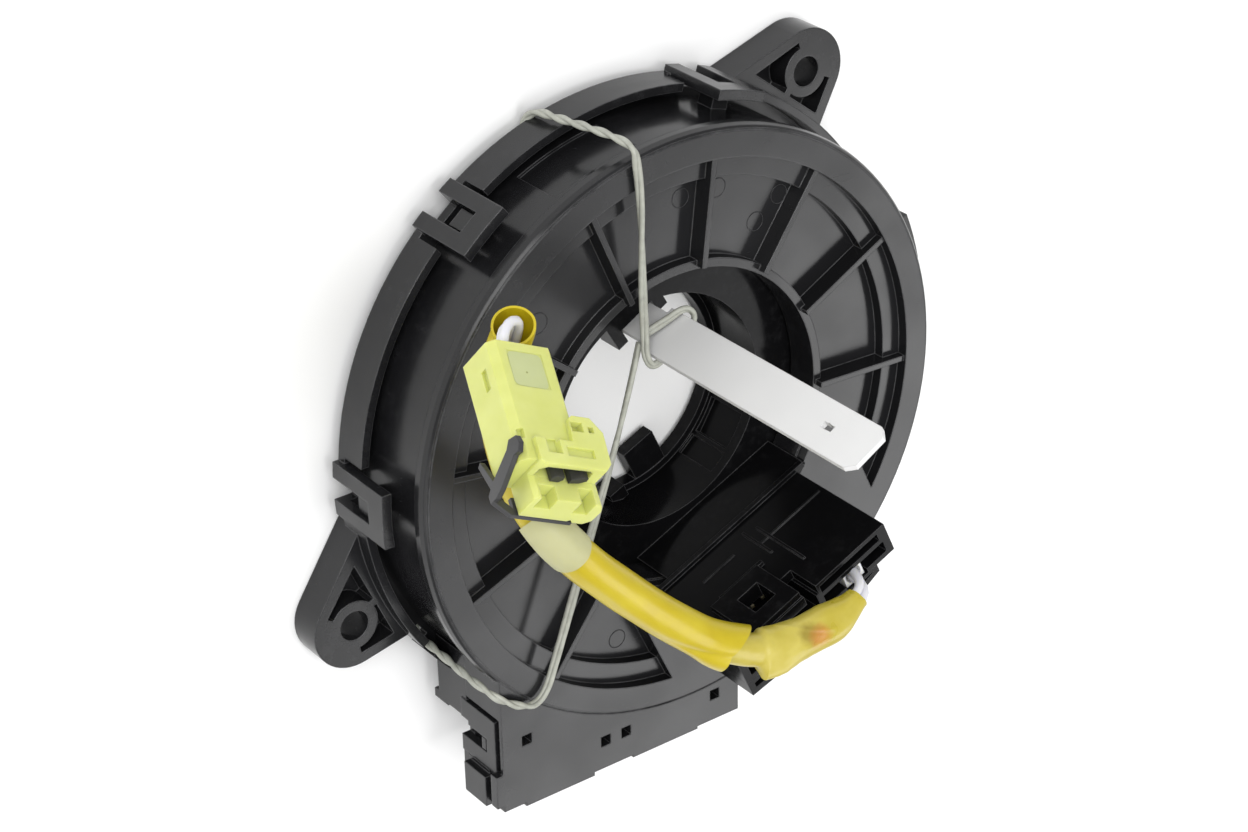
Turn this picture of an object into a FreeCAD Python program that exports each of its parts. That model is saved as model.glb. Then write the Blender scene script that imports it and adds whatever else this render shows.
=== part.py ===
import FreeCAD, Part
import math
import os
import Sketcher
from FreeCAD import Vector, Rotation, Placement, Matrix

# Steering clock spring: a flat ribbon cable wound in a round drum between the
# column (stator) and the steering wheel (rotor).
# Frame: origin on the turning axis, in the plane the back rests on. +Z runs
# along the axis toward the steering wheel, +Y points to the top of the drum,
# away from the harness socket housing, +X is to the right seen from the wheel.
# Millimetres throughout.

doc = FreeCAD.newDocument("clock_spring")

# ------------------------------------------------------------------ dimensions
DIMS = [
    ("bore_radius", 20.9, "rotor bore"),
    ("bore_lip_radius", 19.6, "rear lip in the bore"),
    ("rotor_hub_radius", 30.0, "hub that the ribbon winds on"),
    ("rotor_sleeve_radius", 22.6, "sleeve through the rear cover"),
    ("rotor_back", 0.6, "rear end of the rotor"),
    ("rotor_floor", 14.5, "front of the recessed rotor ring"),
    ("face_plane", 23.2, "front face of the drum"),
    ("ledge_plane", 21.2, "first step of the front face"),
    ("pocket_plane", 19.2, "floor of the pockets"),
    ("floor_under", 17.6, "inside of the front face"),
    ("wall_radius", 51.6, "outside of the drum wall"),
    ("wall_inner", 50.0, "inside of the drum wall"),
    ("ring_radius", 52.5, "widest edge behind the front face"),
    ("face_radius", 51.7, "outer edge of the flat front band"),
    ("band_inner", 47.1, "inner edge of the flat band"),
    ("ledge_inner", 43.4, "inner edge of the ledge"),
    ("lip_outer", 29.4, "front opening lip, outside"),
    ("lip_inner", 27.85, "front opening lip, inside"),
    ("lip_bottom", 15.2, "rear end of the lip"),
    ("rib_wide", 1.0, "radial rib width"),
    ("rib_top", 22.7, "top of the radial ribs"),
    ("plate_back", 2.5, "rear cover plate, back"),
    ("plate_front", 4.3, "rear cover plate, inside"),
    ("hub_hole", 23.2, "hole in the rear cover"),
    ("foot_inner", 26.0, "rear foot ring, inside"),
    ("foot_outer", 28.5, "rear foot ring, outside"),
    ("skirt_outer", 55.2, "skirt of the rear cover, outside"),
    ("skirt_inner", 53.7, "skirt of the rear cover, inside"),
    ("skirt_top", 9.2, "front edge of the skirt"),
    ("ear_pitch", 61.4, "ear hole, distance from the axis"),
    ("ear_tip", 7.6, "ear end radius"),
    ("ear_hole", 2.65, "ear hole radius"),
    ("ear_boss", 4.5, "boss round the ear hole"),
    ("ear_thick", 6.2, "ear thickness"),
    ("ear_floor", 2.0, "floor of the ear pockets"),
    ("latch_wide", 9.6, "snap loop width"),
    ("latch_top", 17.0, "front end of the snap loops"),
    ("hood_left", -40.0, "socket housing, left side"),
    ("hood_right", 9.8, "socket housing, right side"),
    ("hood_low", -59.2, "socket housing, open end"),
    ("hood_roof", -52.0, "bottom of the sockets"),
    ("hood_back", 12.9, "parting plane of the socket housing"),
    ("hood_wall", 1.4, "socket wall"),
    ("cover_back", 3.2, "back of the housing cover"),
    ("tower_near", 22.3, "flat tower wall, distance from the axis"),
    ("tower_far", 28.6, "outer side of the tower"),
    ("tower_left", -20.8, "tower, left end"),
    ("tower_right", 13.5, "tower, right end"),
    ("tower_base", 23.9, "underside of the tower overhang"),
    ("tower_top", 47.0, "top of the tower"),
    ("strip_wide", 8.7, "lock strip width"),
    ("strip_thick", 1.0, "lock strip thickness"),
    ("strip_near", 17.4, "lock strip, distance from the axis"),
    ("strip_foot", 10.6, "lower end of the lock strip"),
    ("strip_top", 72.0, "upper end of the lock strip"),
    ("ribbon_wide", 10.4, "flat cable width"),
    ("ribbon_thick", 0.35, "flat cable thickness"),
    ("lead_dia", 3.0, "pair of airbag wires"),
    ("sleeve_dia", 6.6, "lead sleeve outside"),
    ("sleeve_bore", 5.7, "lead sleeve inside"),
    ("tape_dia", 6.2, "tape wrap outside"),
    ("tie_dia", 1.5, "tie cord"),
]
sheet = doc.addObject("Spreadsheet::Sheet", "Dims")
for row, (alias, value, note) in enumerate(DIMS, 1):
    sheet.set("A%d" % row, alias)
    sheet.set("B%d" % row, str(value))
    sheet.set("C%d" % row, note)
    sheet.setAlias("B%d" % row, alias)
doc.recompute()
D = {alias: value for alias, value, note in DIMS}

TOWER_ANGLE = 24.2      # the tower's chord, turned from +X
STRIP_ANGLE = 119.5     # the way the lock strip's face looks
STRIP_SHIFT = 5.54      # its middle, to the right of that direction
RIB_ANGLES = (83.2, 55.5, 28.2, -2.5, 113.0, 142.0, 172.0, -158.5, -127.0)
LATCH_ANGLES = (128.6, 180.2, 73.6, 18.0, -28.0)
EARS = (("right", 51.8, 1.0), ("left", -156.7, -1.0))


def ex(alias, add=0.0, times=1.0):
    """A size taken from the sheet: times * alias + add."""
    return (alias, add, times)


def val(q):
    return q[2] * D[q[0]] + q[1] if isinstance(q, tuple) else float(q)


def formula(q):
    return "Dims.%s * %.6g + %.6g" % (q[0], q[2], q[1])


def put(obj, prop, q):
    """Set a property, bound to the sheet where q comes from it."""
    if isinstance(q, tuple):
        obj.setExpression(prop, formula(q))
    elif prop.startswith("Placement."):
        raise ValueError(prop)
    else:
        setattr(obj, prop, float(q))


def place(obj, x, y, z, ang=0.0):
    obj.Placement = Placement(Vector(val(x), val(y), val(z)),
                              Rotation(Vector(0, 0, 1), ang))
    for axis, q in (("x", x), ("y", y), ("z", z)):
        if isinstance(q, tuple) and not ang:
            obj.setExpression("Placement.Base." + axis, formula(q))
    if isinstance(z, tuple) and ang:
        obj.setExpression("Placement.Base.z", formula(z))
    return obj


def cyl(name, r, z, h, x=0.0, y=0.0):
    o = doc.addObject("Part::Cylinder", name)
    put(o, "Radius", r)
    put(o, "Height", h)
    return place(o, x, y, z)


def box(name, x, y, z, dx, dy, dz):
    o = doc.addObject("Part::Box", name)
    put(o, "Length", dx)
    put(o, "Width", dy)
    put(o, "Height", dz)
    return place(o, x, y, z)


def polar_box(name, ang, r0, r1, wide, z, h, shift=0.0):
    """A box along a radius at ang degrees, shift mm to its left."""
    o = doc.addObject("Part::Box", name)
    put(o, "Length", r1 - r0)
    put(o, "Width", wide)
    put(o, "Height", h)
    a = math.radians(ang)
    s = shift - val(wide) / 2.0
    x = r0 * math.cos(a) - s * math.sin(a)
    y = r0 * math.sin(a) + s * math.cos(a)
    return place(o, x, y, z, ang)


def chord_box(name, al0, al1, d0, d1, z0, z1, ang=TOWER_ANGLE):
    """A box in the tower's frame: al along the chord, d out from the axis."""
    o = doc.addObject("Part::Box", name)
    v = [val(q) for q in (al0, al1, d0, d1, z0, z1)]
    o.Length = v[1] - v[0]
    o.Width = v[3] - v[2]
    put(o, "Height", v[5] - v[4])
    a = math.radians(ang)
    x = v[0] * math.cos(a) + v[3] * math.sin(a)
    y = v[0] * math.sin(a) - v[3] * math.cos(a)
    return place(o, x, y, z0, ang)


def fuse(name, parts):
    if len(parts) == 1:
        return parts[0]
    o = doc.addObject("Part::MultiFuse", name)
    o.Shapes = parts
    o.Refine = True
    return o


def cut(name, base, tools):
    o = doc.addObject("Part::Cut", name)
    o.Base = base
    o.Tool = tools[0] if len(tools) == 1 else fuse(name + "_tools", tools)
    o.Refine = True
    return o


def common(name, a, b):
    o = doc.addObject("Part::Common", name)
    o.Base = a
    o.Tool = b
    o.Refine = True
    return o


def origin_plane(b, role):
    for f in b.Origin.OriginFeatures:
        if f.Role == role:
            return f


def sketch(b, name, role, pts, lift=0.0):
    s = b.newObject("Sketcher::SketchObject", name)
    s.AttachmentSupport = [(origin_plane(b, role), "")]
    s.MapMode = "FlatFace"
    if val(lift):
        s.AttachmentOffset = Placement(Vector(0, 0, val(lift)), Rotation())
        if isinstance(lift, tuple):
            s.setExpression("AttachmentOffset.Base.z", formula(lift))
    v = [(val(x), val(y)) for x, y in pts]
    n = len(v)
    for i in range(n):
        j = (i + 1) % n
        s.addGeometry(Part.LineSegment(Vector(v[i][0], v[i][1], 0),
                                       Vector(v[j][0], v[j][1], 0)), False)
    for i in range(n):
        s.addConstraint(Sketcher.Constraint("Coincident", i, 2, (i + 1) % n, 1))
    for i, p in enumerate(pts):
        for kind, axis, q in (("DistanceX", -2, p[0]), ("DistanceY", -1, p[1])):
            if abs(val(q)) < 1e-9:
                s.addConstraint(Sketcher.Constraint("PointOnObject", i, 1, axis))
                continue
            k = s.addConstraint(Sketcher.Constraint(kind, -1, 1, i, 1, val(q)))
            if isinstance(q, tuple):
                s.setExpression("Constraints[%d]" % k, formula(q))
    return s


def turned(name, pts):
    """A full turn of the (radius, height) outline about Z."""
    b = doc.addObject("PartDesign::Body", name)
    s = sketch(b, name + "_outline", "XZ_Plane", pts)
    r = b.newObject("PartDesign::Revolution", name + "_turn")
    r.Profile = s
    r.ReferenceAxis = (s, ["V_Axis"])
    r.Angle = 360.0
    s.Visibility = False
    return b


def pad(name, pts, z0, h, ang=0.0):
    """An outline in the XY plane padded up from z0, then turned by ang."""
    b = doc.addObject("PartDesign::Body", name)
    s = sketch(b, name + "_outline", "XY_Plane", pts, z0)
    p = b.newObject("PartDesign::Pad", name + "_pad")
    p.Profile = s
    put(p, "Length", h)
    if ang:
        b.Placement = Placement(Vector(0, 0, 0), Rotation(Vector(0, 0, 1), ang))
    return b


def side_pad(name, pts, x0, h):
    """An outline in the YZ plane padded along +X from x0."""
    b = doc.addObject("PartDesign::Body", name)
    s = sketch(b, name + "_outline", "YZ_Plane", pts, x0)
    p = b.newObject("PartDesign::Pad", name + "_pad")
    p.Profile = s
    put(p, "Length", h)
    return b


def plan_pad(name, pts, y1, h):
    """An outline in the XZ plane padded along -Y from y1."""
    b = doc.addObject("PartDesign::Body", name)
    s = sketch(b, name + "_outline", "XZ_Plane", pts, -y1)
    p = b.newObject("PartDesign::Pad", name + "_pad")
    p.Profile = s
    put(p, "Length", h)
    return b


NODES = []


def node(obj, label, placement=None):
    obj.Label = label
    if placement is not None:
        obj.Placement = placement
    NODES.append(obj)
    return obj


# ------------------------------------------------------------------ front case
# One moulding: stepped front face with radial ribs, drum wall, and the front
# half of the harness socket housing.
case_shell = turned("case_shell", [
    (ex("wall_inner"), ex("plate_front")),
    (ex("wall_radius"), ex("plate_front")),
    (ex("wall_radius"), 19.5), (51.2, 19.5), (51.2, 20.0),
    (ex("ring_radius"), 20.4), (ex("ring_radius"), 21.7),
    (52.25, 22.6), (ex("face_radius"), ex("face_plane")),
    (ex("band_inner"), ex("face_plane")), (ex("band_inner"), ex("ledge_plane")),
    (ex("ledge_inner"), ex("ledge_plane")), (ex("ledge_inner"), ex("pocket_plane")),
    (ex("lip_outer"), ex("pocket_plane")), (ex("lip_outer"), ex("ledge_plane")),
    (ex("lip_inner"), ex("ledge_plane")), (ex("lip_inner"), ex("lip_bottom")),
    (ex("lip_outer"), ex("lip_bottom")), (ex("lip_outer"), ex("floor_under")),
    (44.8, ex("floor_under")), (44.8, 19.6), (ex("wall_inner"), 19.6)])

ribs = [polar_box("rib_%d" % i, a, 28.4, 47.6, ex("rib_wide"), 18.4, ex("rib_top", -18.4))
        for i, a in enumerate(RIB_ANGLES)]

# Flat area under the tower, level with the band.
flat_area = common("flat_area",
                   pad("flat_area_outline", [(-23.4, -46.0), (26.0, -46.0), (26.0, -18.0), (-23.4, -18.0)],
                       18.0, ex("face_plane", -18.0), TOWER_ANGLE),
                   cut("flat_area_ring", cyl("flat_area_disc", 47.6, 17.7, 6.0),
                       [cyl("flat_area_hole", 28.2, 17.0, 7.0)]))

hood_block = pad("hood_block", [
    (ex("hood_left"), ex("hood_low")), (-35.6, ex("hood_low")), (-35.6, ex("hood_low", -0.7)),
    (-21.4, ex("hood_low", -0.7)), (-21.4, ex("hood_low")), (-13.2, ex("hood_low")),
    (-13.2, ex("hood_low", -0.5)), (0.8, ex("hood_low", -0.5)), (0.8, ex("hood_low")),
    (ex("hood_right"), ex("hood_low")), (ex("hood_right"), -36.0), (ex("hood_left"), -33.2)],
    ex("hood_back"), ex("face_plane", -12.9))
hood_cavity = [
    box("socket_left", ex("hood_left", 1.4), -62.0, 12.0, 21.3, ex("hood_roof", 62.0), 9.7),
    box("socket_right", -15.9, -62.0, 12.0, 24.3, ex("hood_roof", 62.0), 9.7),
    # fine line where the drum edge meets the housing
    cut("blend_line", cyl("blend_line_out", 51.9, 23.0, 1.0), [cyl("blend_line_in", 51.6, 22.9, 1.2)]),
]
# Square pockets in the front wall. Behind them, inside the sockets, the wall is thicker.
HOOD_POCKETS = ((-35.0, -46.6), (-18.9, -53.7), (-14.6, -53.7), (4.6, -54.0))
pockets = [box("hood_pocket_%d" % i, x - 1.0, y - 1.0, 20.4, 2.0, 2.0, 3.0) for i, (x, y) in enumerate(HOOD_POCKETS)]
backing = [box("pocket_back_%d" % i, x - 1.8, y - 1.8, 19.4, 3.6, 3.6, 2.6)
           for i, (x, y) in enumerate(HOOD_POCKETS) if y < -50.0]
case_lugs = [polar_box("case_lug_%d" % i, a, 51.0, 55.4, 3.2, 8.6, 3.6)
             for i, a in enumerate(LATCH_ANGLES)]
hood_outer = cut("hood_outer", hood_block, [cyl("hood_drum", ex("wall_radius", -0.7), 12.0, 12.0)])
case_solid = fuse("case_solid", [case_shell, hood_outer, flat_area] + ribs + case_lugs)
# Left side of the housing: a recess for the snap loop of the socket cover, the nose
# that the loop catches on, and below them a block and a ledge with a groove between.
loop_seat = box("loop_seat", -39.0, -53.4, ex("hood_back"), 2.0, 1.8, 9.0)
loop_recess = box("loop_recess", -41.0, -52.9, 12.0, 2.5, 11.7, 10.5)
post_groove = box("post_groove", -41.0, -58.0, 19.0, 1.6, 5.6, 2.3)
side_lug = box("side_lug", -40.2, -49.1, 17.5, 2.2, 2.3, 1.1)
side_post = box("side_post", -41.3, -59.4, 13.4, 1.8, 5.8, 6.2)
side_ledge = box("side_ledge", -41.4, -58.0, 21.5, 1.8, 6.2, ex("face_plane", -21.5))
# The front opening stays round and the recess panel is sunk in the drum wall.
opening = cyl("front_opening", ex("lip_inner"), 14.0, 12.0)
panel = cut("panel", cyl("panel_out", 52.0, 8.2, 10.3), [cyl("panel_in", 51.1, 8.0, 11.0)])
panel_side = common("panel_side", panel, pad("panel_wedge", [(0.0, 0.0), (-30.0, 62.0), (-9.0, 66.0)], 8.0, 12.0))
case_backed = fuse("case_backed", [cut("case_open", case_solid, hood_cavity), loop_seat] + backing)
case_sunk = cut("case_sunk", case_backed, pockets + [loop_recess, post_groove])
front_case = cut("front_case_solid", fuse("case_all", [case_sunk, side_lug, side_post, side_ledge]),
                 [opening, panel_side])
node(front_case, "front_case")

# ------------------------------------------------------------------ rear cover
cover_shell = turned("cover_shell", [
    (ex("hub_hole"), ex("plate_back")), (ex("foot_inner"), ex("plate_back")),
    (ex("foot_inner"), 0.0), (ex("foot_outer"), 0.0),
    (ex("foot_outer"), ex("plate_back")), (ex("skirt_outer"), ex("plate_back")),
    (ex("skirt_outer"), ex("skirt_top")), (ex("skirt_inner"), ex("skirt_top")),
    (ex("skirt_inner"), ex("plate_front")), (ex("hub_hole"), ex("plate_front"))])
cover_parts = [cover_shell]
cover_cuts = []
for i, a in enumerate(LATCH_ANGLES):
    # the skirt stops short of each snap loop
    cover_cuts.append(polar_box("loop_gap_%d" % i, a, 53.0, 56.5, ex("latch_wide", 2.0), ex("plate_front"), 8.0))
    rim = common("loop_%d" % i,
                 polar_box("loop_block_%d" % i, a, 52.0, 57.0, ex("latch_wide"), ex("plate_back"), ex("latch_top", -2.5)),
                 cut("loop_ring_%d" % i, cyl("loop_out_%d" % i, 56.3, 2.0, 20.0), [cyl("loop_in_%d" % i, 54.5, 1.0, 22.0)]))
    cover_parts.append(rim)
loop_windows = [polar_box("loop_window_%d" % i, a, 53.0, 58.0, 4.0, 1.5, 11.4)
                for i, a in enumerate(LATCH_ANGLES)]
ear_cuts = []
for side, a, m in EARS:
    t = math.radians(a)
    cx, cy = D["ear_pitch"] * math.cos(t), D["ear_pitch"] * math.sin(t)
    r = D["ear_tip"]
    p = D["ear_pitch"]
    # straight flanks run from the skirt to the round end
    def flank(rx, ry, sgn, rad):
        dx, dy = rx - p, ry
        dist = math.hypot(dx, dy)
        base = math.atan2(dy, dx)
        off = math.acos(rad / dist)
        w = base - sgn * off
        return (p + rad * math.cos(w), rad * math.sin(w))
    wide, short = (52.0, 15.4 * m), (53.2, -9.4 * m)
    t1 = flank(wide[0], wide[1], m, r)
    t2 = flank(short[0], short[1], -m, r)
    outline = [(50.5, 15.6 * m), wide, t1, (p, 0.0), t2, short, (50.5, -9.6 * m)]
    wing = pad("ear_wing_" + side, outline, 0.0, ex("ear_thick"), a)
    tip = cyl("ear_tip_" + side, ex("ear_tip"), 0.0, ex("ear_thick"), cx, cy)
    ear = cut("ear_" + side, fuse("ear_body_" + side, [wing, tip]),
              [cut("ear_trim_" + side, cyl("ear_trim_a_" + side, 53.8, 4.3, 6.0),
                   [cyl("ear_trim_b_" + side, 40.0, 4.0, 7.0)]),
               cyl("ear_trim_c_" + side, 50.8, -1.0, 3.5)])
    cover_parts.append(ear)
    # open pocket beside and inside of the boss
    wide2, short2 = (54.0, 12.3 * m), (55.0, -7.4 * m)
    q1 = flank(wide2[0], wide2[1], m, r - 1.9)
    q2 = flank(short2[0], short2[1], -m, r - 1.9)
    pocket = pad("ear_pocket_" + side, [(56.4, wide2[1] * 0.80), q1, (p, 0.0), q2, (56.4, short2[1] * 0.92)],
                 ex("ear_floor"), 6.0, a)
    boss = cyl("ear_boss_" + side, ex("ear_boss"), 0.0, 10.0, cx, cy)
    web = polar_box("ear_web_" + side, a, 55.0, 59.0, 1.3, 0.0, ex("ear_thick"), 1.2 * m)
    ear_cuts.append(cut("ear_hollow_" + side, pocket, [boss, web]))
    ear_cuts.append(cyl("ear_hole_" + side, ex("ear_hole"), -1.0, 10.0, cx, cy))
# room for the socket housing at the bottom of the drum
cover_cuts.append(box("hood_room", ex("hood_left", -0.3), -62.0, ex("plate_front"), 50.6, 29.0, 8.0))
cover_cuts.append(box("hood_room_low", ex("hood_left", -0.3), -62.0, -1.0, 50.6, 17.6, 12.0))
# notch in the rim that the tie cord runs through
cover_cuts.append(polar_box("tie_notch", -143.7, 52.75, 60.0, 3.0, -1.0, 14.0))
base = cut("cover_trimmed", cover_parts[0], cover_cuts)
rear_cover = cut("rear_cover_solid", fuse("cover_all", [base] + cover_parts[1:]), loop_windows + ear_cuts)
node(rear_cover, "rear_cover")

# ------------------------------------------------------------ housing cover
# Closes the back of the two sockets; a snap loop on its left side holds it.
cover_block = pad("socket_cover_block", [
    (ex("hood_left"), -45.8), (ex("hood_right"), -45.8), (ex("hood_right"), -36.0), (ex("hood_left"), -33.2)],
    ex("plate_front", 0.2), ex("hood_back", -4.5))
cover_plate = box("socket_cover_plate", ex("hood_left"), ex("hood_low"), ex("hood_back", -1.4), 49.8, 16.0, 1.4)
cover_loop = box("socket_cover_loop", -40.2, -52.5, ex("hood_back", -1.4), 1.5, 10.4, 9.9)
cover_low = box("socket_cover_low", ex("hood_left"), -46.2, ex("cover_back"), 49.8, 1.6, 4.0)
socket_cover = cut("socket_cover_solid",
                   fuse("socket_cover_all", [cover_block, cover_plate, cover_loop, cover_low]),
                   [cyl("socket_cover_room", 51.8, 1.0, 20.0),
                    box("socket_cover_window", -41.0, -49.4, 13.4, 3.0, 2.8, 5.5),
                    box("socket_cover_notch", -41.0, -49.4, 11.0, 2.4, 3.6, 2.5)])
node(socket_cover, "socket_cover")

# --------------------------------------------------------- harness terminals
def pins(name, xs, y0, y1, z, s=0.64):
    group = [box("%s_pin_%d" % (name, i), x - s / 2.0, y1, z - s / 2.0, s, y0 - y1, s) for i, x in enumerate(xs)]
    o = doc.addObject("Part::Compound", name + "_set")
    o.Links = group
    return o


node(pins("harness_left", [-35.6, -32.6, -29.6, -26.6, -23.6, -20.6], D["hood_roof"], -57.4, 17.4), "harness_terminals_left")
node(pins("harness_right", [-12.6, -9.6, -6.6, -3.6, -0.6, 2.4, 5.4], D["hood_roof"], -57.4, 17.4), "harness_terminals_right")

# ------------------------------------------------------------- inner parts
node(cut("front_slip_sheet_solid", cyl("fss_out", ex("wall_inner", -0.5), ex("floor_under", -0.2), 0.2),
         [cyl("fss_in", 32.4, 17.0, 1.0),
          cut("fss_step", cyl("fss_step_out", 60.0, 17.0, 1.0), [cyl("fss_step_in", 44.5, 16.9, 1.2)])]), "front_slip_sheet")
node(cut("rear_slip_sheet_solid", cyl("rss_out", ex("wall_inner", -0.5), ex("plate_front"), 0.2),
         [cyl("rss_in", 32.4, 4.0, 1.0)]), "rear_slip_sheet")
node(cut("slide_ring_solid", cyl("slide_out", 28.2, ex("plate_front"), 0.35),
         [cyl("slide_in", 23.7, 4.0, 1.0)]), "slide_ring")

# Flat cable: half circles whose radius grows by half the pitch each.
CABLE_IN, CABLE_PITCH, CABLE_TURNS, CABLE_START = 33.2, 2.2, 6, -105.0


def half_turns(r0, pitch, turns, start, wide, thick, z0):
    """Spiral ribbon from half circles on two centres pitch/4 apart."""
    c = pitch / 4.0
    t = math.radians(start)
    ux, uy = math.cos(t), math.sin(t)
    outer, inner = [], []
    r = r0
    for i in range(2 * turns):
        sgn = 1.0 if i % 2 == 0 else -1.0
        cx, cy = -sgn * c * ux, -sgn * c * uy
        for rad, store in ((r + thick, outer), (r, inner)):
            a = Vector(cx + sgn * rad * ux, cy + sgn * rad * uy, z0)
            m = Vector(cx - sgn * rad * uy, cy + sgn * rad * ux, z0)
            b = Vector(cx - sgn * rad * ux, cy - sgn * rad * uy, z0)
            store.append((a, m, b))
        r += pitch / 2.0
    edges = [Part.Arc(a, m, b).toShape() for a, m, b in outer]
    edges.append(Part.makeLine(outer[-1][2], inner[-1][2]))
    edges += [Part.Arc(b, m, a).toShape() for a, m, b in reversed(inner)]
    edges.append(Part.makeLine(inner[0][0], outer[0][0]))
    face = Part.Face(Part.Wire(edges))
    return face.extrude(Vector(0, 0, wide))


ribbon = doc.addObject("Part::Feature", "flat_cable_solid")
ribbon.Shape = half_turns(CABLE_IN, CABLE_PITCH, CABLE_TURNS, CABLE_START, D["ribbon_wide"], D["ribbon_thick"], 5.6)
node(ribbon, "flat_cable")
node(common("outer_clamp_solid",
            polar_box("outer_clamp_block", CABLE_START, 46.9, 50.5, 9.0, 5.2, 11.4),
            cut("outer_clamp_ring", cyl("outer_clamp_out", ex("wall_inner"), 5.0, 12.0),
                [cyl("outer_clamp_in", 47.35, 4.0, 14.0)])), "outer_cable_clamp")
node(common("inner_clamp_solid",
            polar_box("inner_clamp_block", CABLE_START, 29.0, 33.0, 7.0, 5.2, 9.0),
            cut("inner_clamp_ring", cyl("inner_clamp_out", 31.9, 5.0, 12.0),
                [cyl("inner_clamp_in", ex("rotor_hub_radius"), 4.0, 14.0)])), "inner_cable_clamp")

# ----------------------------------------------------------------------- rotor
rotor_turn = turned("rotor_turn", [
    (ex("bore_lip_radius"), ex("rotor_back")), (ex("rotor_sleeve_radius"), ex("rotor_back")),
    (ex("rotor_sleeve_radius"), 12.9), (28.6, 12.9), (28.6, 5.0),
    (ex("rotor_hub_radius"), 5.0), (ex("rotor_hub_radius"), ex("rotor_floor")),
    (ex("bore_radius"), ex("rotor_floor")), (ex("bore_radius"), 3.2), (ex("bore_lip_radius"), 3.2)])
neck = common("neck", chord_box("neck_block", -19.0, 19.0, ex("tower_near"), 28.0, 14.0, ex("tower_base", 0.6)),
              cyl("neck_disc", 27.3, 13.9, 20.0))
tower_block = pad("tower_block", [
    (ex("tower_left"), ex("tower_near", 0.0, -1.0)), (ex("tower_left"), ex("tower_far", 0.0, -1.0)),
    (ex("tower_right"), ex("tower_far", 0.0, -1.0)), (ex("tower_right"), ex("tower_near", 0.0, -1.0))],
    ex("tower_base"), ex("tower_top", -23.9), TOWER_ANGLE)
frame = chord_box("tower_frame", -16.0, -5.3, 21.1, 23.0, 35.6, 46.6)
base_ridge = chord_box("base_ridge", -19.6, 15.2, 21.5, 22.6, 23.7, 24.7)
fine = [chord_box("fine_a", -1.75, -1.25, 22.0, 22.6, 27.0, 34.8),
        chord_box("fine_b", 0.5, 1.0, 22.0, 22.6, 28.2, 40.8),
        chord_box("fine_c", -1.3, 12.6, 22.05, 22.6, 31.4, 31.8),
        chord_box("fine_d", -12.8, -5.6, 22.05, 22.6, 29.2, 29.6),
        chord_box("fine_e", -13.6, -4.0, 21.6, 22.6, 34.8, 35.6)]
lug = chord_box("bore_lug", -5.0, 1.7, 13.0, 20.4, ex("rotor_back"), 3.1)
lug_small = chord_box("bore_lug_small", -11.5, -8.2, 16.2, 18.6, ex("rotor_back"), 5.2)
strip_seat = polar_box("strip_seat", STRIP_ANGLE, 16.0, 20.9, 11.4, 9.6, ex("rotor_floor", -9.6), -STRIP_SHIFT)
seat_fill = common("seat_fill", strip_seat, cyl("seat_disc", 21.6, 9.0, 6.0))
rotor_solid = fuse("rotor_solid", [rotor_turn, neck, tower_block, frame, base_ridge, lug, lug_small, seat_fill] + fine)
rotor_cuts = [
    chord_box("tower_socket_left", -19.4, -3.0, 24.2, 27.7, 28.0, 48.0),
    chord_box("tower_socket_right", -1.8, 12.1, 25.4, 27.7, 28.0, 48.0),
    chord_box("plug_gap", 2.6, 7.4, 25.4, 28.7, 33.8, 48.0),
    chord_box("rim_groove", -1.8, 11.6, 23.05, 24.6, 43.8, 48.0),
    chord_box("tower_window", -12.4, -7.9, 20.0, 24.2, 38.6, 43.4),
    chord_box("tower_slot", -5.1, -2.4, 20.0, 24.2, 40.6, 48.0),
    polar_box("strip_slot", STRIP_ANGLE, 17.1, 18.7, 7.1, 9.0, 12.0, -STRIP_SHIFT),
    polar_box("strip_slot_mouth", STRIP_ANGLE, 15.0, 17.6, 7.1, 11.4, 12.0, -STRIP_SHIFT),
    # panels sunk in the bore wall
    polar_box("bore_panel_a", -32.0, 20.0, 21.75, 6.6, 4.0, 8.4),
    polar_box("bore_panel_b", -48.5, 20.0, 21.4, 3.9, 3.6, 9.0),
]
node(cut("rotor_solid_cut", rotor_solid, rotor_cuts), "rotor")

# Ring snapped on the rear of the rotor sleeve keeps it in the rear cover.
node(cut("retaining_ring_solid", cyl("ret_out", 25.4, ex("rotor_back"), 1.6),
         [cyl("ret_in", ex("rotor_sleeve_radius"), 0.0, 4.0)]), "retaining_ring")

# Outer shroud of the tower, open at the top, with a drop at its left end.
shroud_out = pad("shroud_out", [(-20.8, -28.6), (-20.8, -31.6), (-11.0, -32.4), (2.0, -31.7), (9.4, -30.1), (9.4, -28.6)],
                 30.0, 17.0, TOWER_ANGLE)
shroud_in = pad("shroud_in", [(-19.6, -29.6), (-19.6, -30.6), (-11.0, -31.3), (2.0, -30.6), (8.2, -29.4), (8.2, -29.2)],
                32.0, 16.0, TOWER_ANGLE)
node(cut("tower_shroud_solid", shroud_out, [shroud_in]), "tower_shroud")

def posts(name, als, d, z0, z1, s=0.64):
    group = [chord_box("%s_pin_%d" % (name, i), a - s / 2.0, a + s / 2.0, d - s / 2.0, d + s / 2.0, z0, z1) for i, a in enumerate(als)]
    o = doc.addObject("Part::Compound", name + "_set")
    o.Links = group
    return o


node(posts("tower_pins", [-17.4, -15.0, -12.6, -10.2, -7.8, -5.4], 25.5, 28.0, 38.0), "tower_terminals")

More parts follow.
